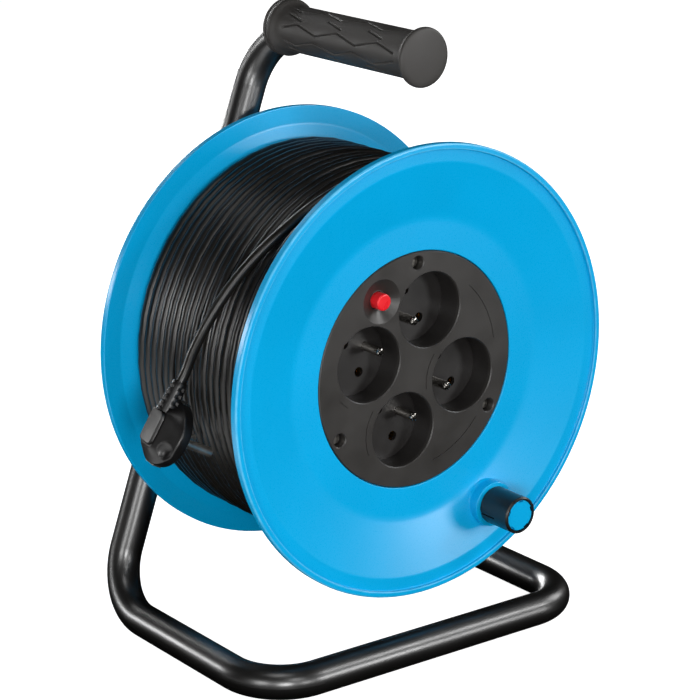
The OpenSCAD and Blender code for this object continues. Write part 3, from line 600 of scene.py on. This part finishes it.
# Strain relief: radius inside the plug, radius at the foot, taper along its length, chamfer at its end
RELIEF_COUNT = 48
ROOT_RADIUS = 4.0
RELIEF_RADIUS = 5.3
RELIEF_TAPER = 1.5
CHAMFER_LENGTH = 0.5
CHAMFER_SLOPE = 0.5
# Its plain rings: heights above its foot, of which the first is inside the plug, and distances from its end
FOOT_RINGS = (-3.0, 0.0, 0.6, 1.4)
END_RINGS = (0.5, 0.1, 0.0)
# Its notches: number in a row, height of the first, spacing, width, depth and width of an edge
NOTCHES = 4
NOTCH_START = 1.5
NOTCH_PITCH = 3.7
NOTCH_WIDTH = 1.9
NOTCH_DEPTH = 1.5
NOTCH_EDGE = 0.04
# A notch is cut where the cosine of twice the angle round the relief is larger than this, with either sign.
NOTCH_LIMIT = 0.7


def plug_sections(head_radius, depth):
    """Sections from the pin face to the back: depth, half width, middle height, half height, squareness."""
    made = [(x, head_radius - inset, 0, head_radius - inset, ROUND) for x, inset in HEAD_EDGE]
    wedge_radius = head_radius - WEDGE_INSET
    wedge_length = BACK_STEP - depth - WEDGE_START
    for i in range(WEDGE_STEPS + 1):
        share = i / WEDGE_STEPS
        x = WEDGE_START + wedge_length * share
        half_width = wedge_radius - WEDGE_NARROWS * share
        half_height = wedge_radius - WEDGE_LOWERS * share
        square = ROUND + WEDGE_SQUARES * share ** 2
        made.append((x, half_width, WEDGE_SHIFT * share, half_height, square))
    for above, half_width, half_height in BACK_EDGE:
        made.append((above - depth, half_width, BACK_SHIFT, half_height, BACK_SQUARE))
    return made


def marked(point):
    """A point of the plug's skin, pressed in where it lies in a finger mark."""
    side = Vector((1, math.copysign(1, point.y), 1))
    share = (point - MARK_PLACE * side).length / MARK_RADIUS
    if share >= 1:
        return point
    return point + MARK_INWARD * side * MARK_DEPTH * (1 - share ** 2)


def plug_skin(plug):
    """Points and faces of the plug's head, wedge and back."""
    sections = plug_sections(plug.head / MM / 2, plug.depth / MM)
    points = []
    for x, half_width, middle, half_height, square in sections:
        for j in range(SKIN_COUNT):
            turn = 2 * math.pi * j / SKIN_COUNT
            across, up = math.cos(turn), math.sin(turn)
            y = half_width * math.copysign(abs(across) ** (2 / square), across)
            z = middle + half_height * math.copysign(abs(up) ** (2 / square), up)
            points.append(marked(Vector((x, y, z))))
    return points, loft_faces(len(sections), SKIN_COUNT)


def relief_radius(height):
    """Radius of the strain relief at a height above its foot, outside its notches."""
    if height <= 0:
        return ROOT_RADIUS
    chamfer = CHAMFER_SLOPE * max(0, height - RELIEF_LENGTH + CHAMFER_LENGTH)
    return RELIEF_RADIUS - RELIEF_TAPER * height / RELIEF_LENGTH - chamfer


def relief_skin(start):
    """Points and faces of the tapered strain relief, with four rows of square notches between its ribs."""
    rings = [(height, False) for height in FOOT_RINGS]
    for i in range(NOTCHES):
        low = NOTCH_START + NOTCH_PITCH * i
        high = low + NOTCH_WIDTH
        rings += [(low, False), (low + NOTCH_EDGE, True), (high, True), (high + NOTCH_EDGE, False)]
    rings += [(RELIEF_LENGTH - back, False) for back in END_RINGS]
    points = []
    for height, notched in rings:
        for j in range(RELIEF_COUNT):
            turn = 2 * math.pi * (j + 0.5) / RELIEF_COUNT
            deep = notched and abs(math.cos(2 * turn)) > NOTCH_LIMIT
            radius = relief_radius(height) - (NOTCH_DEPTH if deep else 0)
            points.append(RELIEF_FOOT + Vector((radius * math.cos(turn), radius * math.sin(turn), height)))
    return points, loft_faces(len(rings), RELIEF_COUNT, start)


class REEL_OT_plug(bpy.types.Operator):
    bl_idname = "reel.plug"
    bl_label = "Build the plug"

    def execute(self, context):
        scene = context.scene
        cord, plug = scene.reel_cord, scene.reel_plug
        skin, skin_faces = plug_skin(plug)
        relief, relief_faces = relief_skin(len(skin))
        to_part = plug_matrix(plug)
        points = [to_part @ point for point in skin + relief]
        piece = add_mesh("plug_shell", points, skin_faces + relief_faces)
        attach(piece, "drum")
        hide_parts("plug_body")
        colour = scene.reel_finish.plug
        rubber = moulded_rubber("Moulded plug rubber", colour, glossy=0.33, dull=0.4, grain=0.9 * MM)
        dress(rubber, "plug_shell")
        cord_route(cord, plug)
        return {"FINISHED"}


# Grip, in millimetres along the handle from the face of the cap

# How far the cap and the collar stand out from the grip
CAP_LIP = 3.0
COLLAR_LIP = 2.9
# Stretch between cap and collar: its distance from each end, and its steps, fine enough for the grooves
PLAIN_START = 7.7
PLAIN_END = 14.0
PLAIN_STEPS = 300
# Points around the grip, and the radius of the small rings that close its ends
GRIP_COUNT = 224
AXIS_RADIUS = 0.02
# Grooves, four times round the grip: where they start, and where their pattern lies around it
GROOVE_START = 11
GROOVE_TURN = math.radians(182)
# A pair of zigzag lines in antiphase: angle from the middle of the pair, and a place where each line turns
PAIR_ANGLE = math.radians(18)
UPPER_PHASE = 59
LOWER_PHASE = 61.4
# A row of slanting dashes: angle, the middle of one dash, half its length and its slope
DASH_ANGLE = math.radians(-45)
DASH_PHASE = 63.2
DASH_REACH = 6.5
DASH_SLOPE = 0.24


def grip_profile(radius, length):
    """Outline of the grip: radius and distance from the face of the cap."""
    cap, collar = radius + CAP_LIP, radius + COLLAR_LIP
    front = [
        (0.0, 0.0), (5.0, 0.05), (9.0, 0.2), (12.0, 0.4), (cap - 1.5, 0.62), (cap - 0.8, 0.85),
        (cap - 0.3, 1.25), (cap - 0.05, 1.8), (cap, 2.4), (cap - 0.1, 2.9), (cap - 0.45, 3.4),
        (cap - 1.0, 3.9), (cap - 1.7, 4.4), (radius + 0.7, 5.0), (radius + 0.25, 5.7), (radius, 6.6)]
    plain_length = length - PLAIN_END - PLAIN_START
    plain = [(radius, PLAIN_START + plain_length * i / PLAIN_STEPS) for i in range(PLAIN_STEPS + 1)]
    # The collar's outline has its distances from the rear end of the grip.
    rear = [
        (radius + 0.1, 12.5), (radius + 0.35, 10.8), (radius + 0.8, 9.2), (radius + 1.4, 8.0),
        (collar - 0.7, 7.0), (collar - 0.2, 6.2), (collar, 5.4), (collar, 3.0), (collar - 0.4, 2.6),
        (collar - 1.4, 2.4), (collar - 1.4, 1.9), (collar - 0.4, 1.7), (collar, 1.4), (collar, 0.5),
        (collar - 0.4, 0.1), (collar - 1.0, 0), (0.0, 0)]
    return front + plain + [(reach, length - back) for reach, back in rear]


def triangle_wave(u):
    """From -1 to 1 and back over one period."""
    return 4 * abs((u % 1) - 0.5) - 1


def groove(grip, turn, along):
    """Depth of the grooves at an angle round the grip and a distance along it."""
    radius, period, swing = (v / MM for v in (grip.radius, grip.period, grip.swing))
    quarter = math.pi / 2 * radius
    place = (turn - GROOVE_TURN) * radius % quarter
    upper = -PAIR_ANGLE * radius - swing * triangle_wave((along - UPPER_PHASE) / period)
    lower = PAIR_ANGLE * radius + swing * triangle_wave((along - LOWER_PHASE) / period)
    lines = [upper, lower]
    from_dash = (((along - DASH_PHASE) / period + 0.5) % 1 - 0.5) * period
    if abs(from_dash) < DASH_REACH:
        lines.append(DASH_ANGLE * radius - from_dash * DASH_SLOPE)
    nearest = min(abs((place - line + quarter / 2) % quarter - quarter / 2) for line in lines)
    share = max(0.0, 1 - nearest / (grip.groove_width / MM / 2))
    return grip.groove_depth / MM * share * (2 - share)


class REEL_OT_grip(bpy.types.Operator):
    """Builds the rubber grip with its cap, collar and zigzag grooves"""

    bl_idname = "reel.grip"
    bl_label = "Build the grip"

    def execute(self, context):
        scene = context.scene
        grip = scene.reel_grip
        length = (GRIP_HIGH.y - GRIP_LOW.y) / MM
        foot = Vector((0, GRIP_LOW.y, (GRIP_LOW.z + GRIP_HIGH.z) / 2))
        profile = grip_profile(grip.radius / MM, length)
        points = []
        for radius, along in profile:
            grooved = GROOVE_START < along < length - PLAIN_END
            for j in range(GRIP_COUNT):
                turn = 2 * math.pi * j / GRIP_COUNT
                deep = groove(grip, turn, along) if grooved else 0.0
                points.append(foot + Vector(around(max(radius - deep, AXIS_RADIUS), along, turn)) * MM)
        faces = loft_faces(len(profile), GRIP_COUNT)
        piece = add_mesh("handle_rubber", points, faces, sharp=math.radians(55))
        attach(piece, "frame")
        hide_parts("handle_grip")
        colour = scene.reel_finish.grip
        rubber = moulded_rubber("Moulded grip rubber", colour, glossy=0.48, dull=0.6, grain=0.9 * MM)
        dress(rubber, "handle_rubber")
        return {"FINISHED"}


# Finishes of the CAD nodes


class REEL_OT_finishes(bpy.types.Operator):
    """Gives each CAD node the finish of its real material"""

    bl_idname = "reel.finishes"
    bl_label = "Finish the CAD nodes"

    def execute(self, context):
        colours = context.scene.reel_finish
        cups = [f"socket_cup_{k}" for k in range(1, 5)]
        dress(moulded_polypropylene(colours.flange), "front_drum_half", "rear_drum_half", "knob_spindle")
        dress(moulded_polycarbonate("Moulded polycarbonate", colours.insert), "face_plate")
        # The cups' darker colour paints the shade inside the socket wells.
        dress(moulded_polycarbonate("Polycarbonate with painted well shade", colours.cups), *cups)
        dress(stove_enamel(colours.enamel), "leg_tube", "base_tube", "stay_tube")
        # The two numbers are a finish's roughness where it is glossiest and where it is dullest.
        dress(polyamide("Black polyamide", linear("#151414"), 0.3, 0.42),
              "crank_knob", "thermal_cutout", "cord_grommet", "inner_cord")
        dress(polyamide("Red polyamide", colours.button, 0.25, 0.35), "reset_button")
        dress(polyamide("Natural polyamide", linear("#DAD6CC"), 0.4, 0.5),
              "hub_bushes", "contact_carrier", "contact_cover", "terminal_block")
        dress(plated_metal("Zinc-plated steel", "#B9BCC0", 0.22, 0.34),
              "axle_sleeve", "axle_bolt", "axle_washers", "axle_saddles", "axle_nut", "drum_screws")
        dress(plated_metal("Blackened steel", "#7A7772", 0.3, 0.42), "plate_screws")
        dress(plated_metal("Nickel-plated brass", "#D8D4CD", 0.13, 0.2), "earth_pins")
        dress(plated_metal("Satin nickel", "#EAE6DE", 0.3, 0.4), "plug_pins")
        dress(plated_metal("Dull nickel strip", "#6E6A64", 0.36, 0.46), "plug_earth_clips")
        dress(plated_metal("Brass strip", "#C9A552", 0.2, 0.32),
              "contact_sleeves", "live_bar", "neutral_bar", "earth_bar")
        return {"FINISHED"}


# Stage, in metres

FLOOR_HALF = 9.0
FLOOR_GLOW = 0.94
# Size of the faint mottle in the floor's paint
MOTTLE_SIZE = 1 / 6
# Softboxes stand at one distance from the axle. Each has a name, its azimuth from the front towards the
# right and its elevation in degrees, its side, and its power in watts.
SOFTBOX_DISTANCE = 2.0
SOFTBOXES = [
    ("Key softbox", -30, 5, 0.4, 15.6),
    ("Front softbox", 0, 5, 0.4, 5.5),
    ("Right softbox", 30, 6, 0.4, 10.8),
    ("Left softbox", -64, 8, 0.5, 9),
    ("High right softbox", 45, 30, 0.4, 8),
    ("High front softbox", -12, 30, 0.4, 4),
    ("Top softbox", -40, 64, 0.6, 4),
    ("Back softbox", 175, 12, 0.7, 24),
    ("Back left softbox", 220, 8, 0.35, 8),
    ("High back softbox", 189, 40, 0.3, 0.8),
    ("Side softbox", 78, 25, 0.7, 9)]
# A card on the table bounces light up under the wound cord and the plug.
CARD_PLACE = (-0.46, -0.1, 0.004)
CARD_SIZE = (0.5, 0.7)
CARD_POWER = 1.6
# The camera's sensor in millimetres, and how far it sees
SENSOR_WIDTH = 36
VIEW_DEPTH = 50


def direction(azimuth, elevation):
    """Unit vector away from the reel, with its azimuth from the front towards the right, in radians."""
    flat = math.cos(elevation)
    return Vector((math.sin(azimuth) * flat, -math.cos(azimuth) * flat, math.sin(elevation)))


def add_floor():
    """A pale painted floor that glows evenly, so that it is as white as the photograph's."""
    corners = [(x * FLOOR_HALF, y * FLOOR_HALF, 0) for x, y in ((-1, -1), (1, -1), (1, 1), (-1, 1))]
    floor = add_mesh("floor", corners, [(0, 1, 2, 3)])
    material, tree, place = start_material("Pale painted floor")
    mottle = noise(tree, place, size=MOTTLE_SIZE, detail=2.0)
    finish_material(tree, {
        "Base Color": tinted(tree, linear("#F4F4F4"), mottle, 0.98, 1.0, start=0.0, stop=1.0),
        "Roughness": 0.7,
        "Emission Color": linear("#FFFFFF"),
        "Emission Strength": FLOOR_GLOW})
    dress(material, "floor")
    # The white floor stays out of the reel's reflections, as on a dark studio table.
    floor.visible_diffuse = False
    floor.visible_glossy = False


def add_surroundings(scene):
    """White surroundings, which stay out of the reel's reflections as the floor does."""
    world = bpy.data.worlds.new("Studio")
    scene.world = world
    world.use_nodes = True
    background = world.node_tree.nodes["Background"]
    background.inputs["Color"].default_value = linear("#FFFFFF")
    background.inputs["Strength"].default_value = 1.0
    world.cycles_visibility.diffuse = False
    world.cycles_visibility.glossy = False


def add_lamp(scene, name, shape, power):
    """An area light and its object."""
    lamp = bpy.data.lights.new(name, "AREA")
    lamp.shape = shape
    lamp.energy = power
    holder = bpy.data.objects.new(name, lamp)
    scene.collection.objects.link(holder)
    return lamp, holder


def add_softbox(scene, name, azimuth, elevation, side, power):
    """A square softbox that faces the reel."""
    lamp, holder = add_lamp(scene, name, "SQUARE", power)
    lamp.size = side
    towards = direction(math.radians(azimuth), math.radians(elevation))
    holder.location = Vector((0, 0, DRUM_ORIGIN.z)) + towards * SOFTBOX_DISTANCE
    holder.rotation_euler = (-towards).to_track_quat("-Z", "Y").to_euler()


def add_card(scene):
    """The card on the table, which the camera doesn't see."""
    lamp, holder = add_lamp(scene, "Low card", "RECTANGLE", CARD_POWER)
    lamp.size, lamp.size_y = CARD_SIZE
    holder.location = CARD_PLACE
    holder.rotation_euler = (math.pi, 0, 0)
    holder.visible_camera = False


def add_camera(scene, stage):
    """The camera at the photograph's angle."""
    camera = bpy.data.cameras.new("Camera")
    camera.lens = stage.lens
    camera.sensor_width = SENSOR_WIDTH
    camera.clip_end = VIEW_DEPTH
    holder = bpy.data.objects.new("Camera", camera)
    towards = direction(-stage.azimuth, stage.elevation)
    look = (-towards).to_track_quat("-Z", "Y").to_matrix().to_4x4()
    place = DRUM_ORIGIN + Vector(stage.target) + towards * stage.distance
    holder.matrix_world = Matrix.Translation(place) @ look @ Matrix.Rotation(stage.roll, 4, "Z")
    scene.collection.objects.link(holder)
    scene.camera = holder


class REEL_OT_stage(bpy.types.Operator):
    """Lays the floor, hangs the lights and sets up the camera"""

    bl_idname = "reel.stage"
    bl_label = "Set the stage"

    def execute(self, context):
        scene = context.scene
        add_floor()
        add_surroundings(scene)
        for softbox in SOFTBOXES:
            add_softbox(scene, *softbox)
        add_card(scene)
        add_camera(scene, scene.reel_stage)
        scene.view_settings.view_transform = "Standard"
        return {"FINISHED"}


# Add-on

# Each group of settings, with the operator that uses it
GROUPS = {
    "reel_cord": (CordSizes, REEL_OT_cord),
    "reel_plug": (PlugSizes, REEL_OT_plug),
    "reel_grip": (GripSizes, REEL_OT_grip),
    "reel_finish": (Finishes, REEL_OT_finishes),
    "reel_stage": (StageSettings, REEL_OT_stage)}


class REEL_PT_sidebar(bpy.types.Panel):
    """Lists the reel's pieces and their sizes"""

    bl_idname = "REEL_PT_sidebar"
    bl_label = "Cord reel"
    bl_space_type = "VIEW_3D"
    bl_region_type = "UI"
    bl_category = "Cord reel"

    def draw(self, context):
        for name, (group, operator) in GROUPS.items():
            box = self.layout.box()
            for key in group.__annotations__:
                box.prop(getattr(context.scene, name), key)
            box.operator(operator.bl_idname)


CLASSES = [made for pair in GROUPS.values() for made in pair] + [REEL_PT_sidebar]


def register():
    for made in CLASSES:
        bpy.utils.register_class(made)
    for name, (group, operator) in GROUPS.items():
        setattr(bpy.types.Scene, name, PointerProperty(type=group))


def unregister():
    for name in GROUPS:
        delattr(bpy.types.Scene, name)
    for made in reversed(CLASSES):
        bpy.utils.unregister_class(made)


def main():
    register()
    bpy.ops.reel.cord()
    bpy.ops.reel.plug()
    bpy.ops.reel.grip()
    bpy.ops.reel.finishes()
    bpy.ops.reel.stage()


if __name__ == "__main__":
    main()
